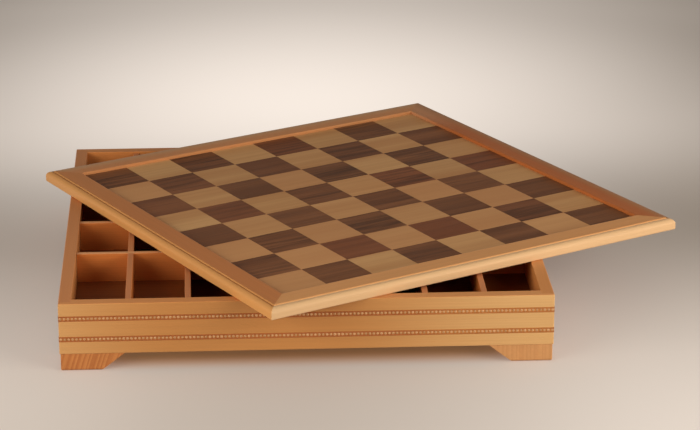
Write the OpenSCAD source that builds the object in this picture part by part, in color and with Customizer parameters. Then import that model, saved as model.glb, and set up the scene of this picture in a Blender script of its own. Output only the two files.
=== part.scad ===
// Chess box: a square case with a divider grid inside and four bracket feet.
// Its lid is an inlaid chessboard in a mitred frame, laid askew on the rim.
// Millimetres, +Z up. The origin is on the table, straight under the middle of the lid.

/* [Chessboard lid] */
// Side of one playing square
square_w = 45; // [30:1:60]
// Width of the frame moulding, outside the playing field
frame_w = 25.2; // [18:0.1:36]
// How far the lid is wider than the case on each side
lid_overhang = 1.2; // [0:0.1:5]
// Height of the moulding's flat above the playing field
lip_h = 2.7; // [1.5:0.1:5]
// How far the nose along the outer edge lies below the moulding's flat
nose_drop = 0.8; // [0.4:0.1:1.2]
// Radius over the nose
nose_r = 4.5; // [2:0.1:6]
// Width of the quirk between the nose and the moulding's flat
quirk_w = 1.1; // [0.5:0.1:3]
// Radius along the flat's outer edge, which meets the quirk
bead_r = 1.6; // [1.3:0.1:3]
// Radius along the moulding's lower outer edge
heel_r = 1.5; // [0.5:0.1:2.5]
// Radius along the moulding's inner upper edge
sight_r = 1.2; // [0.5:0.1:1.4]
// Thickness of the walnut and maple squares
veneer_t = 0.8; // [0.5:0.1:1.5]
// Thickness of the plywood core under the squares
core_t = 5; // [4:0.5:9]
// How far the core runs into the frame's groove
core_tongue = 6; // [3:0.5:9]
// Thickness of the balancing sheet on the core's underside
backing_t = 0.6; // [0.4:0.1:1.2]
// Depth of the recess between the balancing sheet and the rim
underside_recess = 1.6; // [0.6:0.1:3]

/* [Lid position] */
// Middle of the lid to the right of the middle of the case
lid_shift_x = 50.3; // [0:0.1:80]
// Middle of the lid behind the middle of the case
lid_shift_y = 29; // [0:0.1:60]
// Turn of the lid against the case, in degrees
lid_turn = 28.8; // [10:0.1:45]

/* [Case] */
// Height of the four side boards
side_h = 44; // [40:1:70]
// Thickness of the side boards
side_t = 10.5; // [9:0.5:16]
// Depth of the rabbets that take the ends of the left and right boards
rabbet_d = 6; // [3:0.5:7]
// Rounding of the outer edges
edge_r = 0.8; // [0.3:0.1:1.5]
// Depth of the compartments, from the rim to their floor
floor_depth = 27; // [24:0.5:31]
// Thickness of the floor panel
floor_t = 5; // [3:0.5:6]
// Depth of the groove that holds the floor panel
groove_d = 5; // [2:0.5:5.5]

/* [Dividers] */
// Thickness of the divider strips
divider_t = 5; // [3:0.5:7]
// How far the dividers stay below the rim
divider_drop = 1.6; // [0.5:0.1:4]
// Length of the compartments in the front and back rows
end_row = 112; // [90:0.5:130]
// Rounding of the dividers' upper edges
divider_r = 0.5; // [0.2:0.1:1]

/* [Inlay bands] */
// Width of each band
band_w = 4.6; // [3:0.1:7]
// Depth of the grooves that hold the bands
band_t = 1.2; // [0.8:0.1:2]
// From the board's upper or lower edge to the middle of the nearer band
band_inset = 13; // [8:0.5:15]

/* [Feet] */
// Height of the feet
foot_h = 15; // [12:0.5:30]
// From the case's outer face to the far end of a foot, under the case
foot_top_w = 53.5; // [50:0.5:70]
// From the case's outer face to the far end of a foot, on the table
foot_base_w = 34.2; // [30:0.1:48]
// How far the feet stand in from the case's outer faces
foot_inset = 0.8; // [0:0.1:2]
// Rounding of a foot's lower edges
foot_r = 2; // [0.5:0.1:3]
// Size of the glue blocks inside the corners
block_w = 40; // [30:1:48]
// What is left of each glue block's side after its corner is cut
block_end_w = 14; // [8:1:24]

/* [Foot screws] */
// Radius of a screw's shank
screw_r = 2; // [1.5:0.1:2.2]
// Radius of a screw's head
head_r = 3.6; // [3.2:0.1:4]
// Height of a screw's countersunk head
head_h = 2; // [1.5:0.1:2.5]
// Depth of the head below the foot's face
head_sink = 4; // [3:0.5:5]
// Distance of the nearer screw from each outer face of the case
screw_near = 17.5; // [16:0.5:19]
// Distance between a foot's two screws along each face
screw_step = 10; // [8:0.5:11]
// Wood left between a screw's point and the floor panel
point_gap = 3; // [1:0.5:7]

/* [Clearances] */
// Gap at each end of the dividers
insert_gap = 0.25; // [0.1:0.05:0.5]
// Gap on each side of a divider in its lap
lap_gap = 0.1; // [0.05:0.05:0.3]
// Gap round the edge of a panel in its groove
panel_gap = 0.3; // [0.1:0.05:0.5]
// Gap over a panel in its groove
panel_play = 0.1; // [0.05:0.05:0.3]
// Joint line between two squares
joint_line = 0.1; // [0.05:0.01:0.2]
// Gap round a screw in its hole
screw_gap = 0.15; // [0.1:0.05:0.3]
// Gap round a screw in its pilot hole
pilot_gap = 0.05; // [0.03:0.01:0.1]

/* [Hidden] */

$fn = 48;
cut = 1; // how far a cutting shape runs past what it cuts
squares = 8;
columns = 8;
rows = 4;

// board
field_w = squares * square_w;
lid_w = field_w + 2 * frame_w;
core_z = underside_recess + backing_t;
core_top = core_z + core_t;
field_z = core_top + veneer_t;
flat_z = field_z + lip_h;
nose_z = flat_z - nose_drop;
flat_end = frame_w - nose_r - quirk_w;
bead_angle = asin(1 - nose_drop / bead_r); // where the bead's arc meets the quirk

// case
case_w = lid_w - 2 * lid_overhang;
inner_w = case_w - 2 * side_t;
rim_z = foot_h + side_h;
floor_z = rim_z - floor_depth;
panel_z = floor_z - floor_t;
screw_bite = panel_z - foot_h - point_gap;
tongue_t = side_t - rabbet_d;
foot_slope = atan2(foot_h, foot_top_w - foot_base_w); // of the foot's inner side, from the table
side_len = case_w - 2 * tongue_t;
case_at = [-lid_shift_x, -lid_shift_y, 0];

// dividers
divider_h = floor_depth - divider_drop;
column_pitch = (inner_w + divider_t) / columns;
row_pitch = (inner_w - divider_t) / 2 - end_row;
divider_len = inner_w - 2 * insert_gap;

// inlay bands, by the height of their middle
upper_band_z = rim_z - band_inset;
lower_band_z = foot_h + band_inset;

pine = "#d9a468";
rim_pine = "#c98f5a";
foot_wood = "#cf8a52";
panel_wood = "#a8703f";
band_wood = "#8f5330";
walnut = "#5b3a26";
maple = "#c79a66";
steel = "#b5b2aa";
backing_wood = "#b98d5f";

// points of an arc from angle a to angle b
function arc(middle, r, a, b, steps = 5) =
    [for (i = [0:steps]) middle + r * [cos(a + (b - a) * i / steps), sin(a + (b - a) * i / steps)]];

// rectangle from [0, 0] with all four corners rounded
function eased_rect(w, h, r) = concat(
    arc([r, r], r, 180, 270, 4), arc([w - r, r], r, 270, 360, 4),
    arc([w - r, h - r], r, 0, 90, 4), arc([r, h - r], r, 90, 180, 4));

// a profile drawn in Y and Z, run along X and centred on it
module run_x(length) rotate([90, 0, 90]) translate([0, 0, -length / 2]) linear_extrude(length) children();

// block from [0, 0, 0] that is centred in X and Y
module centred(size) translate([-size[0] / 2, -size[1] / 2, 0]) cube(size);

module in_case() translate(case_at) children();

module on_rim() translate([0, 0, rim_z]) rotate(lid_turn) children();

// ---- case ----

// the whole case as one solid block with rounded outer edges
module case_block() {
    profile = eased_rect(case_w, side_h, edge_r);
    translate([0, 0, foot_h]) intersection() {
        run_x(case_w) translate([-case_w / 2, 0]) polygon(profile);
        rotate(90) run_x(case_w) translate([-case_w / 2, 0]) polygon(profile);
        linear_extrude(side_h) translate([-case_w / 2, -case_w / 2])
            polygon(eased_rect(case_w, case_w, edge_r));
    }
}

module panel_groove() {
    w = inner_w + 2 * groove_d;
    translate([0, 0, panel_z]) centred([w, w, floor_t + panel_play]);
}

// band of height band_w that reaches band_t into all four faces
module band_groove(z) {
    inside = case_w - 2 * band_t;
    translate([0, 0, z - band_w / 2]) difference() {
        centred([case_w + 2 * cut, case_w + 2 * cut, band_w]);
        translate([0, 0, -cut]) centred([inside, inside, band_w + 2 * cut]);
    }
}

module case_grooves() {
    panel_groove();
    band_groove(upper_band_z);
    band_groove(lower_band_z);
}

// a full-width board with a rabbet at each end; it lies along the front
module end_board() color(pine) difference() {
    intersection() {
        case_block();
        translate([-case_w / 2, -case_w / 2, foot_h]) cube([case_w, side_t, side_h]);
    }
    for (side = [-1, 1])
        translate([side * (case_w - side_t) / 2, -case_w / 2 + tongue_t, foot_h - cut])
            translate([-side_t / 2 - (side < 0 ? cut : 0), 0, 0])
                cube([side_t + cut, side_t, side_h + 2 * cut]);
    case_grooves();
}

// a board between the two end boards, let into their rabbets; it lies on the left
module between_board() color(pine) difference() {
    intersection() {
        case_block();
        translate([-case_w / 2, -side_len / 2, foot_h]) cube([side_t, side_len, side_h]);
    }
    case_grooves();
}

module floor_panel() {
    w = inner_w + 2 * (groove_d - panel_gap);
    color(panel_wood) translate([0, 0, panel_z]) centred([w, w, floor_t]);
}

// band on the front face, over its whole width
module end_inlay(z) color(band_wood) intersection() {
    case_block();
    translate([-case_w / 2, -case_w / 2, z - band_w / 2]) cube([case_w, band_t, band_w]);
}

// band on the left face, between the front and back bands
module between_inlay(z) color(band_wood) {
    length = case_w - 2 * band_t;
    translate([-case_w / 2, -length / 2, z - band_w / 2]) cube([band_t, length, band_w]);
}

// ---- divider grid, halved together where the strips cross ----

module divider_strip() run_x(divider_len) translate([-divider_t / 2, 0])
    polygon(concat([[0, 0], [divider_t, 0]],
        arc([divider_t - divider_r, divider_h - divider_r], divider_r, 0, 90, 3),
        arc([divider_r, divider_h - divider_r], divider_r, 90, 180, 3)));

module lap_slot(z) translate([-divider_t / 2 - lap_gap, -divider_t, z])
    cube([divider_t + 2 * lap_gap, 2 * divider_t, divider_h]);

// runs from front to back, slotted from above
module long_divider(column) color(rim_pine)
    translate([column * column_pitch - (inner_w + divider_t) / 2, 0, floor_z]) rotate(90) difference() {
        divider_strip();
        for (row = [-1:1]) translate([row * row_pitch, 0, 0]) lap_slot(divider_h / 2);
    }

// runs from left to right, slotted from below
module cross_divider(row) color(rim_pine) translate([0, row * row_pitch, floor_z]) difference() {
    divider_strip();
    for (column = [1:columns - 1])
        translate([column * column_pitch - (inner_w + divider_t) / 2, 0, 0])
            lap_slot(lap_gap - divider_h / 2);
}

// ---- feet, drawn at the front left corner and turned to the others ----

module at_corner(turn) rotate(turn) translate([-case_w / 2, -case_w / 2, 0]) children();

module at_screws() for (i = [0, 1])
    translate([screw_near + i * screw_step, screw_near + (1 - i) * screw_step, 0]) children();

// the foot's outline seen from one side, from the outer face inwards
function foot_outline() = concat(arc([foot_inset + foot_r, foot_r], foot_r, 180, 270, 4),
    arc([foot_base_w - foot_r * tan(foot_slope / 2), foot_r], foot_r, 270, 270 + foot_slope, 3),
    [[foot_top_w, foot_h], [foot_inset, foot_h]]);

module foot(turn) color(foot_wood) at_corner(turn) difference() {
    intersection() {
        translate([foot_top_w / 2, 0, 0]) run_x(foot_top_w) polygon(foot_outline());
        translate([0, foot_top_w, 0]) rotate([90, 0, 0]) linear_extrude(foot_top_w) polygon(foot_outline());
        linear_extrude(foot_h) polygon(concat(
            arc([foot_inset + edge_r, foot_inset + edge_r], edge_r, 180, 270, 4),
            [[foot_top_w, foot_inset], [foot_top_w, foot_top_w], [foot_inset, foot_top_w]]));
    }
    at_screws() {
        translate([0, 0, -cut]) cylinder(r = head_r + screw_gap, h = cut + head_sink);
        translate([0, 0, head_sink]) cylinder(r1 = head_r + screw_gap, r2 = screw_r + screw_gap, h = head_h);
        cylinder(r = screw_r + screw_gap, h = foot_h + cut);
    }
}

module glue_block(turn) color(panel_wood) at_corner(turn) difference() {
    translate([side_t, side_t, foot_h]) linear_extrude(panel_z - foot_h)
        polygon([[0, 0], [block_w, 0], [block_w, block_end_w], [block_end_w, block_w], [0, block_w]]);
    at_screws() translate([0, 0, foot_h - cut])
        cylinder(r = screw_r + pilot_gap, h = screw_bite + cut + screw_gap);
}

module foot_screws() color(steel) for (turn = [0:90:270]) at_corner(turn) at_screws()
    difference() {
        union() {
            translate([0, 0, head_sink]) cylinder(r1 = head_r, r2 = screw_r, h = head_h);
            translate([0, 0, head_sink]) cylinder(r = screw_r, h = foot_h + screw_bite - head_sink);
        }
        for (turn = [0, 90]) rotate(turn)
            translate([-screw_r, -screw_r / 5, head_sink - cut])
                cube([2 * screw_r, 2 * screw_r / 5, cut + head_h / 2]);
    }

// ---- lid ----

// section of the frame, from the field's edge outwards and from the underside up
function moulding() = concat(
    [[0, 0]],
    arc([frame_w - heel_r, heel_r], heel_r, 270, 360),
    arc([frame_w - nose_r, nose_z - nose_r], nose_r, 0, 90, 9),
    arc([flat_end - bead_r * cos(bead_angle), flat_z - bead_r], bead_r, bead_angle, 90, 4),
    arc([sight_r, flat_z - sight_r], sight_r, 90, 180),
    [[0, core_top + panel_play], [core_tongue + panel_gap, core_top + panel_play],
     [core_tongue + panel_gap, core_z], [0, core_z]]);

module lid_frame(turn) color(pine) on_rim() rotate(turn) intersection() {
    translate([0, -field_w / 2, 0]) mirror([0, 1, 0]) run_x(lid_w) polygon(moulding());
    linear_extrude(flat_z) polygon([[0, 0], [-lid_w, -lid_w], [lid_w, -lid_w]]);
}

module lid_core() {
    w = field_w + 2 * core_tongue;
    color(panel_wood) on_rim() translate([0, 0, core_z]) centred([w, w, core_t]);
}

module lid_backing() {
    w = field_w - panel_gap;
    color(backing_wood) on_rim() translate([0, 0, underside_recess]) centred([w, w, backing_t]);
}

// every second square; the near corner of the board is light
module board_squares(dark) color(dark ? walnut : maple) on_rim()
    for (i = [0:squares - 1], j = [0:squares - 1])
        if ((i + j) % 2 == (dark ? 1 : 0))
            translate([(i + 0.5) * square_w - field_w / 2, (j + 0.5) * square_w - field_w / 2, core_top])
                centred([square_w - joint_line, square_w - joint_line, veneer_t]);

in_case() end_board();  // front_board
in_case() rotate(180) end_board();  // back_board
in_case() between_board();  // left_board
in_case() rotate(180) between_board();  // right_board
in_case() floor_panel();
in_case() end_inlay(upper_band_z);  // front_upper_inlay
in_case() end_inlay(lower_band_z);  // front_lower_inlay
in_case() rotate(180) end_inlay(upper_band_z);  // back_upper_inlay
in_case() rotate(180) end_inlay(lower_band_z);  // back_lower_inlay
in_case() between_inlay(upper_band_z);  // left_upper_inlay
in_case() between_inlay(lower_band_z);  // left_lower_inlay
in_case() rotate(180) between_inlay(upper_band_z);  // right_upper_inlay
in_case() rotate(180) between_inlay(lower_band_z);  // right_lower_inlay
in_case() long_divider(1);  // long_divider_1
in_case() long_divider(2);  // long_divider_2
in_case() long_divider(3);  // long_divider_3
in_case() long_divider(4);  // long_divider_4
in_case() long_divider(5);  // long_divider_5
in_case() long_divider(6);  // long_divider_6
in_case() long_divider(7);  // long_divider_7
in_case() cross_divider(-1);  // cross_divider_front
in_case() cross_divider(0);  // cross_divider_middle
in_case() cross_divider(1);  // cross_divider_back
in_case() foot(0);  // foot_front_left
in_case() foot(90);  // foot_front_right
in_case() foot(180);  // foot_back_right
in_case() foot(270);  // foot_back_left
in_case() glue_block(0);  // glue_block_front_left
in_case() glue_block(90);  // glue_block_front_right
in_case() glue_block(180);  // glue_block_back_right
in_case() glue_block(270);  // glue_block_back_left
in_case() foot_screws();
lid_frame(0);  // lid_frame_near
lid_frame(90);  // lid_frame_right
lid_frame(180);  // lid_frame_far
lid_frame(270);  // lid_frame_left
lid_core();
board_squares(true);  // dark_squares
board_squares(false);  // light_squares
lid_backing();
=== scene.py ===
import math

import bpy
from mathutils import Matrix, Vector


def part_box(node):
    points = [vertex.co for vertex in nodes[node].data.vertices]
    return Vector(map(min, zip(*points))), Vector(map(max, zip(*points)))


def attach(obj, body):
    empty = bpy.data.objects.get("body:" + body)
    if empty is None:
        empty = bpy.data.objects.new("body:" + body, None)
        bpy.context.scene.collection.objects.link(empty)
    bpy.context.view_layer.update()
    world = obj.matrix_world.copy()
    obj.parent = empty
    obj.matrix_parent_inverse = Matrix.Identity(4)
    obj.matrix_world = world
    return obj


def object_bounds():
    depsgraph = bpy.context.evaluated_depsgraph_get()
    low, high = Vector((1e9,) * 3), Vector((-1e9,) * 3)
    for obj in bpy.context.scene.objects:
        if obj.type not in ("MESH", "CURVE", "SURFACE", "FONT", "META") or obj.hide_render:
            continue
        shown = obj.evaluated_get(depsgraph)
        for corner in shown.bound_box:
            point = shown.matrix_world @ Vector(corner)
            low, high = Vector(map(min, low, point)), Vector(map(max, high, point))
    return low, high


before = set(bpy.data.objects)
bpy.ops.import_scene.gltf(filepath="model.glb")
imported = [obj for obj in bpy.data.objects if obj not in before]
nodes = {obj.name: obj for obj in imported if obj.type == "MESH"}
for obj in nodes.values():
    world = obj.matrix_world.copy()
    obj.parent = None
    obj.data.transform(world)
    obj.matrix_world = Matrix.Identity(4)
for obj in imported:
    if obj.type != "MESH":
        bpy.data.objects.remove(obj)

cadLow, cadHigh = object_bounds()
print("frame loaded:", len(nodes), "CAD nodes")

# where the case and the turned lid are, taken from the frame
caseLow, caseHigh = Vector(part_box("front_board")[0]), Vector(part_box("back_board")[1])
caseMiddle = (caseLow + caseHigh) / 2
coreCorners = [vertex.co for vertex in nodes["lid_core"].data.vertices]
nearCorner = min(coreCorners, key=lambda point: point.y)
rightCorner = max(coreCorners, key=lambda point: point.x)
lidTurn = math.atan2(rightCorner.y - nearCorner.y, rightCorner.x - nearCorner.x)
alongLid = Vector((math.cos(lidTurn), math.sin(lidTurn), 0))
squaresReach = [vertex.co.dot(alongLid) for vertex in nodes["dark_squares"].data.vertices]
squaresAcross = 8
squareWidth = (max(squaresReach) - min(squaresReach)) / squaresAcross


def rgb(code):  # sRGB hex code to the linear colour that the sockets take
    parts = [int(code[i:i + 2], 16) / 255 for i in (1, 3, 5)]
    return tuple(p / 12.92 if p <= 0.04045 else ((p + 0.055) / 1.055) ** 2.4 for p in parts) + (1.0,)


# camera: stands in front, a little to the left, with a long lens
camera = {
    "stand": Vector((-0.1312, -2.3603, 0.8859)),
    "lookAt": Vector((0.00024, 0.05299, 0.0306)),
    "lens": 143.2,
    "sensor": 36.0,
    "clip": (0.05, 30.0),
}


def setCamera():
    data = bpy.data.cameras.new("studioCamera")
    data.lens, data.sensor_width = camera["lens"], camera["sensor"]
    data.clip_start, data.clip_end = camera["clip"]
    stand = bpy.data.objects.new("studioCamera", data)
    bpy.context.scene.collection.objects.link(stand)
    stand.location = camera["stand"]
    stand.rotation_euler = (camera["lookAt"] - camera["stand"]).to_track_quat("-Z", "Y").to_euler()
    bpy.context.scene.camera = stand


setCamera()
bpy.context.scene.view_settings.view_transform = "Standard"
print("camera set")


# small helpers for node trees: place links a socket to an input, and sets any other value on it
def place(tree, kind, sockets=None, **settings):
    node = tree.nodes.new(kind)
    for name, value in settings.items():
        setattr(node, name, value)
    for key, value in (sockets or {}).items():
        if isinstance(value, bpy.types.NodeSocket):
            tree.links.new(value, node.inputs[key])
        else:
            node.inputs[key].default_value = value
    return node


def calc(tree, operation, a, b=0.0, c=0.0, clamp=False):
    node = place(tree, "ShaderNodeMath", {0: a, 1: b, 2: c}, operation=operation, use_clamp=clamp)
    return node.outputs[0]


def vectorCalc(tree, operation, a, b=(0, 0, 0)):
    return place(tree, "ShaderNodeVectorMath", {0: a, 1: b}, operation=operation).outputs[0]


def scaled(tree, vector, factor):
    return place(tree, "ShaderNodeVectorMath", {0: vector, "Scale": factor}, operation="SCALE").outputs[0]


def vectorLength(tree, vector):
    return place(tree, "ShaderNodeVectorMath", {0: vector}, operation="LENGTH").outputs["Value"]


def axesOf(tree, vector):
    return place(tree, "ShaderNodeSeparateXYZ", {0: vector}).outputs


def combined(tree, x=0.0, y=0.0, z=0.0):
    return place(tree, "ShaderNodeCombineXYZ", {0: x, 1: y, 2: z}).outputs[0]


def objectSpace(tree):
    return place(tree, "ShaderNodeTexCoord").outputs["Object"]


def remap(tree, value, low, high, newLow=0.0, newHigh=1.0, smooth=True):
    kind = "SMOOTHSTEP" if smooth else "LINEAR"
    sockets = {"Value": value, "From Min": low, "From Max": high, "To Min": newLow, "To Max": newHigh}
    return place(tree, "ShaderNodeMapRange", sockets, interpolation_type=kind).outputs[0]


noiseRange = (0.25, 0.75)  # where nearly all noise values lie


def spread(tree, value, amount):  # a noise value to a factor round 1
    return remap(tree, value, *noiseRange, 1.0 - amount, 1.0 + amount, smooth=False)


def blendColour(tree, factor, a, b):
    return place(tree, "ShaderNodeMix", {0: factor, 6: a, 7: b}, data_type="RGBA").outputs[2]


# stretch is the number of blobs a metre on each axis
def stretchedNoise(tree, vector, stretch, seed, detail=2.0, rough=0.5):
    sockets = {"Vector": vectorCalc(tree, "MULTIPLY", vector, stretch), "W": seed, "Scale": 1.0,
               "Detail": detail, "Roughness": rough}
    return place(tree, "ShaderNodeTexNoise", sockets, noise_dimensions="4D").outputs[0]


def newGroup(name, inputs, outputs):
    tree = bpy.data.node_groups.new(name, "ShaderNodeTree")
    for label, kind, value in inputs:
        socket = tree.interface.new_socket(label, in_out="INPUT", socket_type="NodeSocket" + kind)
        socket.default_value = value
    for label, kind in outputs:
        tree.interface.new_socket(label, in_out="OUTPUT", socket_type="NodeSocket" + kind)
    return tree, tree.nodes.new("NodeGroupInput").outputs, tree.nodes.new("NodeGroupOutput")


def finishGroup(tree, groupOut, results):
    for label, socket in results.items():
        tree.links.new(socket, groupOut.inputs[label])
    return tree


# growth rings round a pith, broad tone and soft streaks along the board, and fine fibres
# the grain runs along X, and each stretch is given in blobs a metre
plankGrain = {
    "bend": (2.2, 9, 9), "tone": (1.8, 52, 52), "hue": (3.2, 16, 16), "hueSeed": 11.3,
    "streak": (6, 260, 260), "streakSeed": 5.9, "fibre": (22, 1100, 1100),
    "yearsScale": 150.0, "yearsShift": 1.8, "lateWood": (0.15, 0.86),
}


def buildPlankGrain():
    look = plankGrain
    tree, given, out = newGroup("plankGrain", [
        ("Vector", "Vector", (0, 0, 0)), ("Pith", "Vector", (0, 0.02, -0.12)),
        ("Ring Spacing", "Float", 0.003), ("Waver", "Float", 0.002), ("Seed", "Float", 0.0)],
        [("Rings", "Float"), ("Tone", "Float"), ("Hue", "Float"), ("Streak", "Float"), ("Fibre", "Float")])
    vector, seed = given["Vector"], given["Seed"]
    bend = stretchedNoise(tree, vector, look["bend"], seed, detail=1.0)
    fromPith = vectorCalc(tree, "SUBTRACT", vector, given["Pith"])
    radius = vectorLength(tree, vectorCalc(tree, "MULTIPLY", fromPith, (0, 1, 1)))
    waver = calc(tree, "MULTIPLY", calc(tree, "SUBTRACT", bend, 0.5), given["Waver"])
    radius = calc(tree, "ADD", radius, waver)
    years = place(tree, "ShaderNodeTexNoise", {"W": calc(tree, "MULTIPLY", radius, look["yearsScale"]),
                  "Scale": 1.0, "Detail": 1.0}, noise_dimensions="1D").outputs[0]
    phase = calc(tree, "ADD", calc(tree, "DIVIDE", radius, given["Ring Spacing"]),
                 calc(tree, "MULTIPLY", years, look["yearsShift"]))
    year = calc(tree, "FRACT", phase)
    start, end = look["lateWood"]
    rings = calc(tree, "MULTIPLY", remap(tree, year, start, end), remap(tree, year, end, 1.0, 1.0, 0.0))
    hueSeed = calc(tree, "ADD", seed, look["hueSeed"])
    streakSeed = calc(tree, "ADD", seed, look["streakSeed"])
    return finishGroup(tree, out, {
        "Rings": rings,
        "Tone": stretchedNoise(tree, vector, look["tone"], seed, detail=3.0, rough=0.6),
        "Hue": stretchedNoise(tree, vector, look["hue"], hueSeed, detail=1.0),
        "Streak": stretchedNoise(tree, vector, look["streak"], streakSeed, rough=0.6),
        "Fibre": stretchedNoise(tree, vector, look["fibre"], seed, rough=0.6)})


# mask that is 1 along the edges of a box-shaped piece and 0 on its faces, broken up by noise
easedEdge = {"rub": (90, 90, 90), "rubRange": (0.3, 0.7), "widthRange": (0.45, 1.5)}


def buildEasedEdge():
    tree, given, out = newGroup("easedEdge", [
        ("Vector", "Vector", (0, 0, 0)), ("Half Size", "Vector", (0.1, 0.1, 0.1)),
        ("Width", "Float", 0.0012), ("Seed", "Float", 0.0)], [("Mask", "Float")])
    vector = given["Vector"]
    inside = vectorCalc(tree, "SUBTRACT", given["Half Size"], vectorCalc(tree, "ABSOLUTE", vector))
    x, y, z = axesOf(tree, inside)
    pairs = [calc(tree, "MAXIMUM", a, b) for a, b in ((x, y), (y, z), (x, z))]
    second = calc(tree, "MINIMUM", calc(tree, "MINIMUM", pairs[0], pairs[1]), pairs[2])
    rub = stretchedNoise(tree, vector, easedEdge["rub"], given["Seed"], detail=3.0)
    wear = remap(tree, rub, *easedEdge["rubRange"], *easedEdge["widthRange"])
    width = calc(tree, "MULTIPLY", given["Width"], wear)
    near = calc(tree, "SUBTRACT", 1.0, calc(tree, "DIVIDE", second, width), clamp=True)
    return finishGroup(tree, out, {"Mask": near})


# roughness of a wiped varnish: a little uneven, and duller where the fibres stand up
satinFinish = {"wipe": (14, 14, 14), "wipeSeed": 4.2, "wipeDepth": 0.16, "fibreDepth": 0.14}


def buildSatinFinish():
    look = satinFinish
    tree, given, out = newGroup("satinFinish", [
        ("Vector", "Vector", (0, 0, 0)), ("Fibre", "Float", 0.5), ("Level", "Float", 0.4)],
        [("Roughness", "Float")])
    wipe = stretchedNoise(tree, given["Vector"], look["wipe"], look["wipeSeed"], detail=3.0)
    rough = given["Level"]
    for value, depth in ((wipe, look["wipeDepth"]), (given["Fibre"], look["fibreDepth"])):
        change = calc(tree, "MULTIPLY", calc(tree, "SUBTRACT", value, 0.5), depth)
        rough = calc(tree, "ADD", rough, change)
    return finishGroup(tree, out, {"Roughness": rough})


# a seed and three chances for each inlaid square, so that every square is its own piece of veneer
def buildSquareChances():
    tree, given, out = newGroup("squareChances", [
        ("Vector", "Vector", (0, 0, 0)), ("Square Width", "Float", 0.045)],
        [("Seed", "Float"), ("Shade", "Float"), ("Warmth", "Float"), ("Figure", "Float")])
    cell = scaled(tree, given["Vector"], calc(tree, "DIVIDE", 1.0, given["Square Width"]))
    cell = vectorCalc(tree, "MULTIPLY", vectorCalc(tree, "FLOOR", cell), (1, 1, 0))
    chance = place(tree, "ShaderNodeTexWhiteNoise", {"Vector": cell}, noise_dimensions="2D")
    parts = axesOf(tree, chance.outputs["Color"])
    return finishGroup(tree, out, {"Seed": chance.outputs["Value"], "Shade": parts[0],
                                   "Warmth": parts[1], "Figure": parts[2]})


# long dark veins and short open pores along X, as in walnut
darkStreaks = {
    "wander": (14, 30, 30), "wanderReach": 0.008,
    "wide": (7, 185, 60), "wideRange": (0.47, 0.61), "wideShare": 0.6,
    "fine": (12, 520, 150), "fineRange": (0.48, 0.66), "fineShare": 0.4, "fineSeed": 7.7,
    "pore": (140, 2600, 2600), "poreRange": (0.60, 0.72),
}


def buildDarkStreaks():
    look = darkStreaks
    tree, given, out = newGroup("darkStreaks", [
        ("Vector", "Vector", (0, 0, 0)), ("Seed", "Float", 0.0)], [("Veins", "Float"), ("Pores", "Float")])
    vector, seed = given["Vector"], given["Seed"]
    wander = stretchedNoise(tree, vector, look["wander"], seed, detail=1.0)
    shift = combined(tree, y=calc(tree, "MULTIPLY", wander, look["wanderReach"]))
    moved = vectorCalc(tree, "ADD", vector, shift)
    wide = stretchedNoise(tree, moved, look["wide"], seed, rough=0.7)
    fineSeed = calc(tree, "ADD", seed, look["fineSeed"])
    fine = stretchedNoise(tree, moved, look["fine"], fineSeed, rough=0.6)
    wide = calc(tree, "MULTIPLY", remap(tree, wide, *look["wideRange"]), look["wideShare"])
    fine = calc(tree, "MULTIPLY", remap(tree, fine, *look["fineRange"]), look["fineShare"])
    pores = stretchedNoise(tree, moved, look["pore"], seed, detail=1.0)
    pores = remap(tree, pores, *look["poreRange"])
    return finishGroup(tree, out, {"Veins": calc(tree, "ADD", wide, fine), "Pores": pores})


groups = {
    "plankGrain": buildPlankGrain(),
    "easedEdge": buildEasedEdge(),
    "satinFinish": buildSatinFinish(),
    "squareChances": buildSquareChances(),
    "darkStreaks": buildDarkStreaks(),
}


def useGroup(tree, name, sockets):
    return place(tree, "ShaderNodeGroup", sockets, node_tree=groups[name]).outputs


def newMaterial(name):
    material = bpy.data.materials.new(name)
    material.use_nodes = True
    tree = material.node_tree
    tree.nodes.clear()
    shader = tree.nodes.new("ShaderNodeBsdfPrincipled")
    output = tree.nodes.new("ShaderNodeOutputMaterial")
    tree.links.new(shader.outputs[0], output.inputs[0])
    return material, tree, shader


# Object coordinates moved to the middle of a piece and turned by -turn, so that its grain runs along X
def pieceCoordinates(tree, middle, turn):
    back = Matrix.Rotation(-turn, 3, "Z")
    sockets = {"Vector": objectSpace(tree), "Location": -(back @ Vector(middle)), "Rotation": (0, 0, -turn)}
    return place(tree, "ShaderNodeMapping", sockets, vector_type="POINT").outputs[0]


def woodGrain(tree, vector, wood, seed):
    return useGroup(tree, "plankGrain", {
        "Vector": vector, "Pith": wood["pith"], "Ring Spacing": wood["ringSpacing"],
        "Waver": wood["waver"], "Seed": seed})


def addRelief(tree, shader, height, distance):
    bump = place(tree, "ShaderNodeBump", {"Height": height, "Distance": distance, "Strength": 1.0})
    tree.links.new(bump.outputs[0], shader.inputs["Normal"])


def addSatin(tree, shader, vector, fibre, level):
    satin = useGroup(tree, "satinFinish", {"Vector": vector, "Fibre": fibre, "Level": level})
    tree.links.new(satin["Roughness"], shader.inputs["Roughness"])


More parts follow.
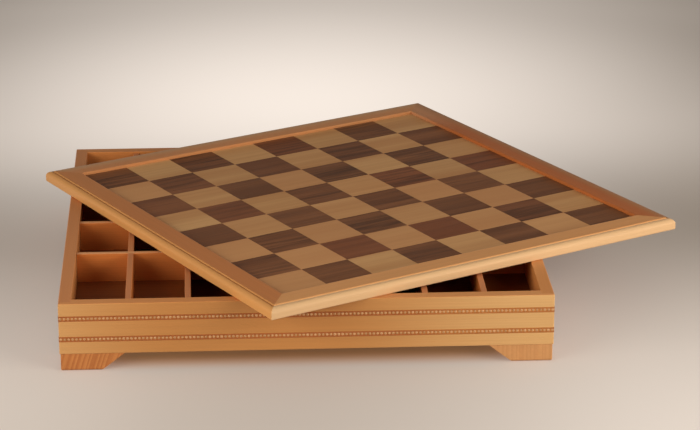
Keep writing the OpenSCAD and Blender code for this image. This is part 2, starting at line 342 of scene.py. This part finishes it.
# solid wood: every board has its own seed, and its end grain follows from the rings
def plankMaterial(name, wood, middle, turn, seed, half=None):
    material, tree, shader = newMaterial(name)
    vector = pieceCoordinates(tree, middle, turn)
    grain = woodGrain(tree, vector, wood, seed)
    late = calc(tree, "MULTIPLY", grain["Rings"], wood["ringDepth"])
    colour = blendColour(tree, late, rgb(wood["early"]), rgb(wood["late"]))
    warmth = remap(tree, grain["Hue"], *wood["hueRange"], 0.0, wood["hueSpread"])
    colour = blendColour(tree, warmth, colour, rgb(wood["warm"]))
    if wood["patchReach"]:  # a stretch of the piece's length painted in another tone
        along = calc(tree, "SUBTRACT", axesOf(tree, vector)[0], wood["patchMiddle"])
        patch = remap(tree, calc(tree, "ABSOLUTE", along), *wood["patchReach"], 1.0, 0.0)
        colour = blendColour(tree, patch, colour, rgb(wood["patch"]))
    shade = calc(tree, "MULTIPLY", spread(tree, grain["Tone"], wood["toneSpread"]),
                 spread(tree, grain["Streak"], wood["streakSpread"]))
    shade = calc(tree, "MULTIPLY", shade, spread(tree, grain["Fibre"], wood["fibreSpread"]))
    if wood["nose"]:  # the outer edge (nose) of a moulding painted paler as a painted highlight, and its inner lip
        across = axesOf(tree, vector)[1]
        start, end = (reach - half.y for reach in wood["noseReach"])
        nose = remap(tree, across, start, end, wood["noseShare"], 0.0)
        colour = blendColour(tree, nose, colour, rgb(wood["nose"]))
        if wood["groove"]:  # painted shade in the groove behind the nose
            off = calc(tree, "ABSOLUTE", calc(tree, "ADD", across, half.y - wood["grooveMiddle"]))
            groove = remap(tree, off, wood["grooveReach"] / 2, wood["grooveReach"], 1.0, 0.0)
            colour = blendColour(tree, groove, colour, rgb(wood["groove"]))
        # the inner lip painted darker on the far frame as painted shade, and lighter on the right frame as
        # a painted highlight
        lip = remap(tree, across, half.y - wood["lipWidth"], half.y, 1.0, wood["lipShade"])
        shade = calc(tree, "MULTIPLY", shade, lip)
    elif half:
        if wood["rim"]:  # the top face of a board painted in another colour, on the dividers a painted highlight where their tops catch the light
            start, end = (half.z - depth for depth in wood["rimReach"])
            rim = remap(tree, axesOf(tree, vector)[2], start, end, 0.0, wood["rimShare"])
            colour = blendColour(tree, rim, colour, rgb(wood["rim"]))
        edge = useGroup(tree, "easedEdge", {"Vector": vector, "Half Size": half,
                                            "Width": wood["edgeWidth"], "Seed": seed})["Mask"]
        worn = remap(tree, edge, 0.0, 1.0, 1.0, wood["edgeShade"], smooth=False)
        shade = calc(tree, "MULTIPLY", shade, worn)
    tree.links.new(scaled(tree, colour, shade), shader.inputs["Base Color"])
    addSatin(tree, shader, vector, grain["Fibre"], wood["roughness"])
    raised = [calc(tree, "MULTIPLY", grain[part], share) for part, share in wood["reliefShares"].items()]
    addRelief(tree, shader, calc(tree, "ADD", *raised), wood["relief"])
    return material


def paintNode(name, material):
    piece = nodes[name]
    piece.data.materials.clear()
    piece.data.materials.append(material)


# case: four boards, floor panel, divider grid, feet and glue blocks
# what all solid wood shares; each wood adds its own colours and seed, and its step to the next piece
caseWood = {
    "pith": (0, 0.03, -0.13), "ringSpacing": 0.0021, "waver": 0.004, "ringDepth": 0.25,
    "hueRange": (0.35, 0.65), "hueSpread": 0.5, "toneSpread": 0.05, "streakSpread": 0.035,
    "fibreSpread": 0.03, "patchReach": None, "nose": None,
    "rim": "#d98e53", "rimShare": 0.7, "rimReach": (0.0003, 0.0001),
    "edgeWidth": 0.0009, "edgeShade": 1.08, "roughness": 0.42,
    "relief": 0.00008, "reliefShares": {"Fibre": 0.6, "Rings": 0.4}, "seedStep": 0.0,
}
frontWood = dict(caseWood, early="#d8a86c", late="#c58f57", warm="#cf9b5f", rim="#e19051",
                 patch="#ba7d42", patchMiddle=-0.045, patchReach=(0.06, 0.25), seed=1.3)
backWood = dict(caseWood, early="#cf8545", late="#bc6e34", warm="#c8753c", seed=5.0)
leftWood = dict(caseWood, early="#d08c4f", late="#bd763f", warm="#c78046", rim="#cf8450", seed=8.7)
rightWood = dict(caseWood, early="#da8f4d", late="#c3773a", warm="#d07f43", rim="#d98e4f",
                 seed=12.4)
# floor panel: a dark brown, made darker still as painted shade for the compartment floors
panelWood = dict(caseWood, early="#8c5022", late="#713b17", warm="#7c401a", ringSpacing=0.006,
                 ringDepth=0.4, pith=(0, 0.1, -0.05), roughness=0.55, rim=None, seed=21.0)
# dividers: their top faces painted paler as a painted highlight, the cross dividers paler still
dividerWood = dict(caseWood, early="#c97839", late="#ad5d29", warm="#bd672e", roughness=0.46,
                   rim="#cb8052", rimShare=0.8, seed=30.0, seedStep=1.7)
crossWood = dict(dividerWood, rim="#e6a56e", seed=50.0, seedStep=2.3)
footWood = dict(caseWood, ringSpacing=0.004, waver=0.0012, roughness=0.5, rim=None,
                seed=60.0, seedStep=3.1)
blockWood = dict(caseWood, early="#b98a58", late="#8f5f35", warm="#a67343", roughness=0.65, rim=None,
                 seed=70.0, seedStep=2.9)
feet = {  # each foot is cut from another offcut, with its end grain to the front
    "front_left": dict(footWood, early="#c07a41", late="#944b1f", warm="#b26a34", ringDepth=0.55,
                       pith=(0, -0.285, -0.093)),
    "front_right": dict(footWood, early="#ca9059", late="#b77844", warm="#c5844b", ringDepth=0.35,
                        pith=(0, -0.3, 0.0)),
    "back_right": dict(footWood, early="#c88248", late="#a05a2a", warm="#bb7038", ringDepth=0.45,
                       pith=(0, 0.12, -0.16)),
    "back_left": dict(footWood, early="#cb8850", late="#a8622f", warm="#bf7940", ringDepth=0.5,
                      pith=(0, -0.06, -0.21)),
}
alongX, alongY = 0.0, math.pi / 2
boards = {
    "front_board": (frontWood, alongX), "back_board": (backWood, alongX),
    "left_board": (leftWood, alongY), "right_board": (rightWood, alongY),
}
longDividers, crossDividers = 7, ("front", "middle", "back")


# middle of a piece, and its half size along and across its own length, for a piece turned about Z
def boxOf(name, turn=0.0):
    back = Matrix.Rotation(-turn, 3, "Z")
    points = [back @ vertex.co for vertex in nodes[name].data.vertices]
    low = Vector([min(point[axis] for point in points) for axis in range(3)])
    high = Vector([max(point[axis] for point in points) for axis in range(3)])
    return back.inverted() @ ((low + high) / 2), (high - low) / 2


def finishPlank(name, wood, turn, number=0):
    middle, half = boxOf(name, turn)
    seed = wood["seed"] + wood["seedStep"] * number
    paintNode(name, plankMaterial(name + "_wood", wood, middle, turn, seed, half))


for name, (wood, turn) in boards.items():
    finishPlank(name, wood, turn)
finishPlank("floor_panel", panelWood, alongX)
for number in range(1, longDividers + 1):
    finishPlank(f"long_divider_{number}", dividerWood, alongY, number)
for number, row in enumerate(crossDividers):
    finishPlank(f"cross_divider_{row}", crossWood, alongX, number)
for number, (corner, wood) in enumerate(feet.items()):
    finishPlank("foot_" + corner, wood, alongY, number)
    finishPlank("glue_block_" + corner, blockWood, alongX, number)
print("case, dividers and feet finished")

# lid: frame mouldings, core and backing
# lid frame mouldings: each nose colour is a painted highlight, spread over much of the flat on the far and
# right frames
frameWood = dict(caseWood, early="#df9d5f", late="#cb8549", warm="#d68f53", waver=0.003, ringDepth=0.2,
                 streakSpread=0.05, pith=(0, 0.11, -0.05), roughness=0.38, nose="#d6ae7e",
                 noseReach=(0.005, 0.0062), noseShare=0.85, lipWidth=0.0012, lipShade=1.0, groove=None,
                 seed=80.0, seedStep=4.3)
farFrameWood = dict(frameWood, early="#d38e57", late="#c27942", warm="#cc824b", nose="#c89a6e",
                    noseReach=(0.005, 0.019), lipShade=0.8)
rightFrameWood = dict(frameWood, early="#c06c34", late="#a95626", warm="#b45e2c", nose="#b27a4c",
                      noseReach=(0.005, 0.017), lipShade=1.1,
                      patch="#c98a5c", patchMiddle=0.205, patchReach=(0.02, 0.11))
leftFrameWood = dict(frameWood, early="#cd8348", late="#b46834", warm="#c16f38", nose="#da9b58",
                     noseReach=(0.0056, 0.0072), groove="#b87036", grooveMiddle=0.0048,
                     grooveReach=0.001)
coreWood = dict(caseWood, early="#b98a58", late="#a17146", warm="#ab7b4d", roughness=0.7, seed=91.0)
backingWood = dict(caseWood, early="#c2935f", late="#a5754a", warm="#b3814f", ringDepth=0.3,
                   roughness=0.6, seed=93.0)
frameLooks = {"near": frameWood, "right": rightFrameWood, "far": farFrameWood, "left": leftFrameWood}
sheets = {"lid_core": (coreWood, "panel_wood"), "lid_backing": (backingWood, "backing_veneer")}

# squares: walnut and maple veneer, grain from the near corner to the right corner
veneer = {
    "seedScale": 47.0, "toneRange": (0.3, 0.7), "warmRange": (0.35, 1.0),
    "figureRange": (0.0, 0.8), "leastFigure": 0.25,
}
walnut = dict(veneer, pale="#925b35", deep="#744527", warm="#8c4a29", vein="#402413", warmShare=0.6,
              veinDepth=0.85, poreDepth=0.35, ringDepth=0.1, squareSpread=0.10, roughness=0.44,
              relief=0.00006, pith=(0, 0.09, -0.03), ringSpacing=0.006, waver=0.009)
maple = dict(veneer, pale="#daa56a", deep="#c78c55", warm="#ce8e58", vein="#b07a44", warmShare=0.75,
             veinDepth=0.14, poreDepth=0.0, ringDepth=0.12, squareSpread=0.05, roughness=0.42,
             relief=0.00004, pith=(0, 0.12, -0.04), ringSpacing=0.005, waver=0.006)


def veneerMaterial(name, wood):
    material, tree, shader = newMaterial(name)
    vector = pieceCoordinates(tree, (0, 0, 0), lidTurn)
    square = useGroup(tree, "squareChances", {"Vector": vector, "Square Width": squareWidth})
    seed = calc(tree, "MULTIPLY", square["Seed"], wood["seedScale"])
    grain = woodGrain(tree, vector, wood, seed)
    streaks = useGroup(tree, "darkStreaks", {"Vector": vector, "Seed": seed})
    pale, deep, warm, vein = (rgb(wood[tone]) for tone in ("pale", "deep", "warm", "vein"))
    colour = blendColour(tree, remap(tree, grain["Tone"], *wood["toneRange"]), deep, pale)
    colour = blendColour(tree, calc(tree, "MULTIPLY", grain["Rings"], wood["ringDepth"]), colour, vein)
    warmth = remap(tree, square["Warmth"], *wood["warmRange"], 0.0, wood["warmShare"])
    colour = blendColour(tree, warmth, colour, warm)
    figure = remap(tree, square["Figure"], *wood["figureRange"], wood["leastFigure"], 1.0)
    figure = calc(tree, "MULTIPLY", streaks["Veins"], figure)
    colour = blendColour(tree, calc(tree, "MULTIPLY", figure, wood["veinDepth"]), colour, vein)
    pores = calc(tree, "MULTIPLY", streaks["Pores"], wood["poreDepth"])
    colour = blendColour(tree, pores, colour, vein)
    least, most = 1 - wood["squareSpread"], 1 + wood["squareSpread"]
    shade = remap(tree, square["Shade"], 0.0, 1.0, least, most, smooth=False)
    tree.links.new(scaled(tree, colour, shade), shader.inputs["Base Color"])
    addSatin(tree, shader, vector, grain["Fibre"], wood["roughness"])
    addRelief(tree, shader, calc(tree, "SUBTRACT", grain["Fibre"], pores), wood["relief"])
    return material


for quarter, (side, wood) in enumerate(frameLooks.items()):
    finishPlank("lid_frame_" + side, wood, lidTurn + quarter * math.pi / 2, quarter)
paintNode("dark_squares", veneerMaterial("walnutSquares", walnut))
paintNode("light_squares", veneerMaterial("mapleSquares", maple))
for name, (wood, slot) in sheets.items():
    paintNode(name, plankMaterial(name + "_wood", wood, (0, 0, 0), lidTurn, wood["seed"]))
print("lid finished")

# inlay bands: dark strips with two strings and a row of beads
bands = {
    "pitch": 0.0032, "beadRadius": 0.0013, "beadDepth": 0.0006, "sunk": 0.0002, "sizeSpread": 0.07,
    "stringRadius": 0.00055, "stringDepth": 0.00028, "stringInset": 0.0007,
    "beadSegments": 8, "beadRings": 6, "stringSides": 8, "seed": 3, "seedStep": 2,
}
beads = {
    "pale": "#d09d6d", "dark": "#aa7848", "fibre": (900, 900, 2400), "fibreSeed": 2.0,
    "toneShare": 0.6, "fibreShare": 0.3, "roughness": 0.36, "relief": 0.00003,
}
groundWood = dict(caseWood, early="#a5602a", late="#8b4918", warm="#b06b34", ringSpacing=0.0011,
                  roughness=0.5, patch="#b97535", patchMiddle=0.2, patchReach=(0.07, 0.13), seed=5.0)
stringWood = dict(groundWood, early="#a1592a", late="#8a4618", warm="#ac6233", ringSpacing=0.0009,
                  roughness=0.45, patch="#ae6a34", seed=17.0)


def beadMaterial():
    material, tree, shader = newMaterial("inlayBeads")
    vector = objectSpace(tree)
    chance = place(tree, "ShaderNodeAttribute", attribute_name="beadTone").outputs["Fac"]
    fibre = stretchedNoise(tree, vector, beads["fibre"], beads["fibreSeed"])
    factor = calc(tree, "ADD", calc(tree, "MULTIPLY", chance, beads["toneShare"]),
                  calc(tree, "MULTIPLY", fibre, beads["fibreShare"]))
    colour = blendColour(tree, factor, rgb(beads["pale"]), rgb(beads["dark"]))
    tree.links.new(colour, shader.inputs["Base Color"])
    addSatin(tree, shader, vector, fibre, beads["roughness"])
    addRelief(tree, shader, fibre, beads["relief"])
    return material


# a row of domed beads between two half-round strings, along X and facing -Y, then turned to its side
def buildBeadTree():
    tree = bpy.data.node_groups.new("beadedBand", "GeometryNodeTree")
    for label, kind in (
            ("Row Middle", "Vector"), ("Row Turn", "Float"), ("Row Length", "Float"), ("Beads", "Int"),
            ("Bead Radius", "Float"), ("Bead Depth", "Float"), ("Sunk", "Float"),
            ("Size Spread", "Float"), ("String Radius", "Float"), ("String Depth", "Float"),
            ("String Height", "Float"), ("Seed", "Int"), ("Bead Material", "Material"),
            ("String Material", "Material")):
        tree.interface.new_socket(label, in_out="INPUT", socket_type="NodeSocket" + kind)
    tree.interface.new_socket("Geometry", in_out="OUTPUT", socket_type="NodeSocketGeometry")
    given = tree.nodes.new("NodeGroupInput").outputs
    out = tree.nodes.new("NodeGroupOutput")

    step = calc(tree, "DIVIDE", given["Row Length"], given["Beads"])
    first = calc(tree, "MULTIPLY", calc(tree, "SUBTRACT", step, given["Row Length"]), 0.5)
    line = place(tree, "GeometryNodeMeshLine", {
        "Count": given["Beads"], "Start Location": combined(tree, first, given["Sunk"]),
        "Offset": combined(tree, step)})
    chance = place(tree, "FunctionNodeRandomValue", {"Seed": given["Seed"]}, data_type="FLOAT").outputs[1]
    toned = place(tree, "GeometryNodeStoreNamedAttribute", {
        "Geometry": line.outputs[0], "Name": "beadTone", "Value": chance},
        data_type="FLOAT", domain="POINT").outputs[0]
    bead = place(tree, "GeometryNodeMeshUVSphere", {
        "Segments": bands["beadSegments"], "Rings": bands["beadRings"], "Radius": 1.0}).outputs[0]
    radius = given["Bead Radius"]
    domed = place(tree, "GeometryNodeTransform", {
        "Geometry": bead, "Scale": combined(tree, radius, given["Bead Depth"], radius)}).outputs[0]
    smooth = place(tree, "GeometryNodeSetShadeSmooth", {"Geometry": domed}).outputs[0]
    size = place(tree, "FunctionNodeRandomValue", {  # inputs 2 and 3 are the least and the most of a float
        2: calc(tree, "SUBTRACT", 1.0, given["Size Spread"]),
        3: calc(tree, "ADD", 1.0, given["Size Spread"]),
        "Seed": calc(tree, "ADD", given["Seed"], 1)}, data_type="FLOAT")
    row = place(tree, "GeometryNodeInstanceOnPoints", {
        "Points": toned, "Instance": smooth, "Scale": size.outputs[1]})
    beadRow = place(tree, "GeometryNodeSetMaterial", {
        "Geometry": row.outputs[0], "Material": given["Bead Material"]})

    halfLength = calc(tree, "MULTIPLY", given["Row Length"], 0.5)
    ends = [combined(tree, calc(tree, "MULTIPLY", halfLength, sign)) for sign in (-1.0, 1.0)]
    rail = place(tree, "GeometryNodeCurvePrimitiveLine", {"Start": ends[0], "End": ends[1]}).outputs[0]
    section = place(tree, "GeometryNodeCurvePrimitiveCircle", {
        "Resolution": bands["stringSides"], "Radius": given["String Radius"]})
    rod = place(tree, "GeometryNodeCurveToMesh", {
        "Curve": rail, "Profile Curve": section.outputs[0], "Fill Caps": True}).outputs[0]
    flatter = calc(tree, "DIVIDE", given["String Depth"], given["String Radius"])
    squash = combined(tree, 1.0, flatter, 1.0)
    pair = tree.nodes.new("GeometryNodeJoinGeometry")
    for sign in (1.0, -1.0):
        lift = combined(tree, z=calc(tree, "MULTIPLY", given["String Height"], sign))
        string = place(tree, "GeometryNodeTransform", {
            "Geometry": rod, "Scale": squash, "Translation": lift})
        tree.links.new(string.outputs[0], pair.inputs[0])
    strings = place(tree, "GeometryNodeSetMaterial", {
        "Geometry": pair.outputs[0], "Material": given["String Material"]})

    both = tree.nodes.new("GeometryNodeJoinGeometry")
    tree.links.new(beadRow.outputs[0], both.inputs[0])
    tree.links.new(strings.outputs[0], both.inputs[0])
    turned = place(tree, "GeometryNodeTransform", {
        "Geometry": both.outputs[0], "Translation": given["Row Middle"],
        "Rotation": combined(tree, z=given["Row Turn"])})
    whole = place(tree, "GeometryNodeRealizeInstances", {"Geometry": turned.outputs[0]})
    tree.links.new(whole.outputs[0], out.inputs[0])
    return tree


def makeBand(side, level, turn, tree, beadPaint, stringPaint, seed):
    node = f"{side}_{level}_inlay"
    low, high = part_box(node)
    toSide = Matrix.Rotation(turn, 3, "Z")
    outward = toSide @ Vector((0, -1, 0))
    face = (low + high) / 2 + outward * abs(outward.dot(high - low)) / 2
    length = abs((toSide @ Vector((1, 0, 0))).dot(high - low))
    values = {
        "Row Middle": face, "Row Turn": turn, "Row Length": length,
        "Beads": round(length / bands["pitch"]), "Bead Radius": bands["beadRadius"],
        "Bead Depth": bands["beadDepth"], "Sunk": bands["sunk"], "Size Spread": bands["sizeSpread"],
        "String Radius": bands["stringRadius"], "String Depth": bands["stringDepth"],
        "String Height": (high.z - low.z) / 2 - bands["stringInset"],
        "Seed": seed, "Bead Material": beadPaint, "String Material": stringPaint}
    holder = bpy.data.objects.new("bandHolder", bpy.data.meshes.new("bandHolder"))
    bpy.context.scene.collection.objects.link(holder)
    modifier = holder.modifiers.new("beadedBand", "NODES")
    modifier.node_group = tree
    for item in tree.interface.items_tree:
        if item.in_out == "INPUT":
            modifier[item.identifier] = values[item.name]
    made = bpy.data.meshes.new_from_object(holder.evaluated_get(bpy.context.evaluated_depsgraph_get()))
    bpy.data.objects.remove(holder)
    piece = bpy.data.objects.new(f"{side}_{level}_beads", made)
    bpy.context.scene.collection.objects.link(piece)
    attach(piece, "case")
    middle = boxOf(node)[0]
    ground = plankMaterial(node + "_wood", groundWood, middle, turn, groundWood["seed"] + seed)
    paintNode(node, ground)


def makeBands():
    tree, beadPaint = buildBeadTree(), beadMaterial()
    stringPaint = plankMaterial("inlayStrings", stringWood, caseMiddle, alongX, stringWood["seed"])
    seed = bands["seed"]
    for quarter, side in enumerate(("front", "right", "back", "left")):
        for level in ("upper", "lower"):
            makeBand(side, level, quarter * math.pi / 2, tree, beadPaint, stringPaint, seed)
            seed += bands["seedStep"]


makeBands()
print("inlay bands made")

# foot screws
screwSteel = {
    "bright": "#b9b4a8", "dull": "#7f7a70", "stain": (420, 420, 420), "stainSeed": 1.0,
    "dullRange": (0.4, 0.75), "roughRange": (0.3, 0.8), "roughness": 0.34, "roughnessDull": 0.6,
    "brushed": (2500, 2500, 300), "brushedSeed": 3.0, "relief": 0.00002,
}


def steelMaterial():
    steel = screwSteel
    material, tree, shader = newMaterial("screwSteel")
    vector = objectSpace(tree)
    stain = stretchedNoise(tree, vector, steel["stain"], steel["stainSeed"], detail=3.0)
    dull = remap(tree, stain, *steel["dullRange"])
    colour = blendColour(tree, dull, rgb(steel["bright"]), rgb(steel["dull"]))
    tree.links.new(colour, shader.inputs["Base Color"])
    shader.inputs["Metallic"].default_value = 1.0
    rough = remap(tree, stain, *steel["roughRange"], steel["roughness"], steel["roughnessDull"])
    tree.links.new(rough, shader.inputs["Roughness"])
    brushed = stretchedNoise(tree, vector, steel["brushed"], steel["brushedSeed"], detail=1.0)
    addRelief(tree, shader, brushed, steel["relief"])
    return material


paintNode("foot_screws", steelMaterial())
print("screws finished")

# studio: a wide paper floor that glows a little for the camera, two lamps and a pale world
studio = {
    "paper": "#b5a695", "paperSpeck": "#ad9e8f", "cloud": (1.6, 1.6, 1.6), "cloudSeed": 6.0,
    "paperShadeUnder": "#cb8952", "shadeReach": (-0.006, 0.030), "halfWidth": 6.0, "roughness": 0.85,
    "sheen": 0.2, "glowColour": "#fff5ec", "underBounceTint": "#eeb885", "underGlow": 0.62,
    "sweepColour": "#c6baad", "sweepHalf": 0.32, "sweepWiden": 0.12, "sweepLean": 0.055,
    "sweepReach": (-0.38, 0.95), "sweepFade": 0.28,
    "worldLight": "#fff6ec", "worldStrength": 0.2, "horizon": "#cdc1b5", "ceiling": "#4a4641",
    "horizonTop": 0.03, "ceilingFrom": 0.3,
}
glows = {  # middle and reach in metres, strength where 1 is white
    "behind": {"middle": (-0.03, 0.45), "reach": (0.73, 0.46), "strength": 0.74},
    "farBehind": {"middle": (0.0, 0.85), "reach": (0.80, 0.44), "strength": 0.46},
    "frontLeft": {"middle": (-0.31, -0.27), "reach": (0.46, 0.69), "strength": 0.31},
    "frontRight": {"middle": (0.26, -0.43), "reach": (0.46, 0.71), "strength": 0.43},
}
lamps = {  # bearing from the front and height in degrees, distance and size in metres, light on the case
    "rightBox": {"bearing": 54, "height": 15, "distance": 1.5, "size": (1.35, 0.8), "level": 0.92},
    "leftBox": {"bearing": -50, "height": 15, "distance": 1.3, "size": (1.0, 0.6), "level": 0.60},
}


def seenRays(tree):  # 1 for what the camera, a reflection or a glass sees, 0 for the light itself
    path = place(tree, "ShaderNodeLightPath").outputs
    seen = calc(tree, "MAXIMUM", path["Is Camera Ray"], path["Is Glossy Ray"])
    return calc(tree, "MAXIMUM", seen, path["Is Transmission Ray"])


def glowMask(tree, vector):
    total = 0.0
    for spot in glows.values():
        away = vectorCalc(tree, "SUBTRACT", vector, spot["middle"] + (0,))
        away = vectorCalc(tree, "DIVIDE", away, spot["reach"] + (1,))
        glow = remap(tree, vectorLength(tree, away), 0.0, 1.0, spot["strength"], 0.0)
        total = calc(tree, "ADD", total, glow)
    return total


def shadeUnderCase(tree, vector):  # 0 on open paper, rising to 1 deep under the case, where the paper takes a painted brown shade
    inward = vectorCalc(tree, "ABSOLUTE", vectorCalc(tree, "SUBTRACT", vector, caseMiddle))
    inward = vectorCalc(tree, "SUBTRACT", (caseHigh - caseLow) / 2, inward)
    depth = axesOf(tree, inward)
    return remap(tree, calc(tree, "MINIMUM", depth[0], depth[1]), *studio["shadeReach"])


# 0 in a wedge round the object that widens to the back, rising to 1 where the paper is one even tone
def farSweep(tree, vector):
    x, y = axesOf(tree, vector)[:2]
    lean = calc(tree, "ABSOLUTE", calc(tree, "SUBTRACT", x, calc(tree, "MULTIPLY", y, studio["sweepLean"])))
    side = calc(tree, "MULTIPLY_ADD", y, studio["sweepWiden"], studio["sweepHalf"])
    beside = calc(tree, "MAXIMUM", calc(tree, "SUBTRACT", lean, side), 0.0)
    front, back = studio["sweepReach"]
    beyond = calc(tree, "MAXIMUM", calc(tree, "SUBTRACT", front, y), calc(tree, "SUBTRACT", y, back))
    beyond = calc(tree, "MAXIMUM", beyond, 0.0)
    return remap(tree, vectorLength(tree, combined(tree, beside, beyond)), 0.0, studio["sweepFade"])


def paperMaterial():
    material, tree, shader = newMaterial("paperFloor")
    vector = objectSpace(tree)
    under = shadeUnderCase(tree, vector)
    cloud = stretchedNoise(tree, vector, studio["cloud"], studio["cloudSeed"])
    colour = blendColour(tree, cloud, rgb(studio["paper"]), rgb(studio["paperSpeck"]))
    # painted brown shade on the paper under the case
    colour = blendColour(tree, under, colour, rgb(studio["paperShadeUnder"]))
    tree.links.new(colour, shader.inputs["Base Color"])
    shader.inputs["Roughness"].default_value = studio["roughness"]
    shader.inputs["Specular IOR Level"].default_value = studio["sheen"]
    seen = seenRays(tree)
    # under the case the glow is dimmed and tinted warm: painted shade and painted bounce light from the
    # wood
    bare = remap(tree, under, 0.0, 1.0, 1.0, studio["underGlow"], smooth=False)
    strength = calc(tree, "MULTIPLY", glowMask(tree, vector), calc(tree, "MULTIPLY", seen, bare))
    tint = blendColour(tree, under, rgb(studio["glowColour"]), rgb(studio["underBounceTint"]))
    glow = place(tree, "ShaderNodeEmission", {"Color": tint, "Strength": strength})
    lit = place(tree, "ShaderNodeAddShader", {0: shader.outputs[0], 1: glow.outputs[0]})
    sweep = place(tree, "ShaderNodeEmission", {"Color": rgb(studio["sweepColour"])})
    far = calc(tree, "MULTIPLY", farSweep(tree, vector), seen)
    wide = place(tree, "ShaderNodeMixShader", {0: far, 1: lit.outputs[0], 2: sweep.outputs[0]})
    below = place(tree, "ShaderNodeNewGeometry").outputs["Backfacing"]
    clear = tree.nodes.new("ShaderNodeBsdfTransparent")
    mixed = place(tree, "ShaderNodeMixShader", {0: below, 1: wide.outputs[0], 2: clear.outputs[0]})
    output = next(node for node in tree.nodes if node.type == "OUTPUT_MATERIAL")
    tree.links.new(mixed.outputs[0], output.inputs[0])
    return material


def makeFloor():
    reach = studio["halfWidth"]
    corners = [(-reach, -reach, 0), (reach, -reach, 0), (reach, reach, 0), (-reach, reach, 0)]
    mesh = bpy.data.meshes.new("studioFloor")
    mesh.from_pydata(corners, [], [(0, 1, 2, 3)])
    floor = bpy.data.objects.new("studioFloor", mesh)
    bpy.context.scene.collection.objects.link(floor)
    mesh.materials.append(paperMaterial())


def makeLamps():
    target = Vector((0, 0, cadHigh.z))
    for name, lamp in lamps.items():
        bearing, height = math.radians(lamp["bearing"]), math.radians(lamp["height"])
        flat = math.cos(height)
        away = Vector((math.sin(bearing) * flat, -math.cos(bearing) * flat, math.sin(height)))
        data = bpy.data.lights.new(name, "AREA")
        data.shape = "RECTANGLE"
        data.size, data.size_y = lamp["size"]
        data.energy = lamp["level"] * math.pi ** 2 * lamp["distance"] ** 2
        item = bpy.data.objects.new(name, data)
        bpy.context.scene.collection.objects.link(item)
        item.location = target + away * lamp["distance"]
        item.rotation_euler = away.to_track_quat("Z", "Y").to_euler()
        item.visible_camera = False
        item.visible_glossy = False  # no lamp mirrored as a white sheet on the lid from behind


def makeWorld():
    world = bpy.data.worlds.new("studioWorld")
    bpy.context.scene.world = world
    world.use_nodes = True
    tree = world.node_tree
    tree.nodes.clear()
    light = place(tree, "ShaderNodeBackground", {0: rgb(studio["worldLight"]), 1: studio["worldStrength"]})
    direction = place(tree, "ShaderNodeTexCoord").outputs["Generated"]
    rise = remap(tree, axesOf(tree, direction)[2], studio["horizonTop"], studio["ceilingFrom"])
    backdrop = blendColour(tree, rise, rgb(studio["horizon"]), rgb(studio["ceiling"]))
    seen = place(tree, "ShaderNodeBackground", {0: backdrop, 1: 1.0})
    mixed = place(tree, "ShaderNodeMixShader", {0: seenRays(tree), 1: light.outputs[0], 2: seen.outputs[0]})
    output = tree.nodes.new("ShaderNodeOutputWorld")
    tree.links.new(mixed.outputs[0], output.inputs[0])


makeFloor()
makeLamps()
makeWorld()
print("studio set")
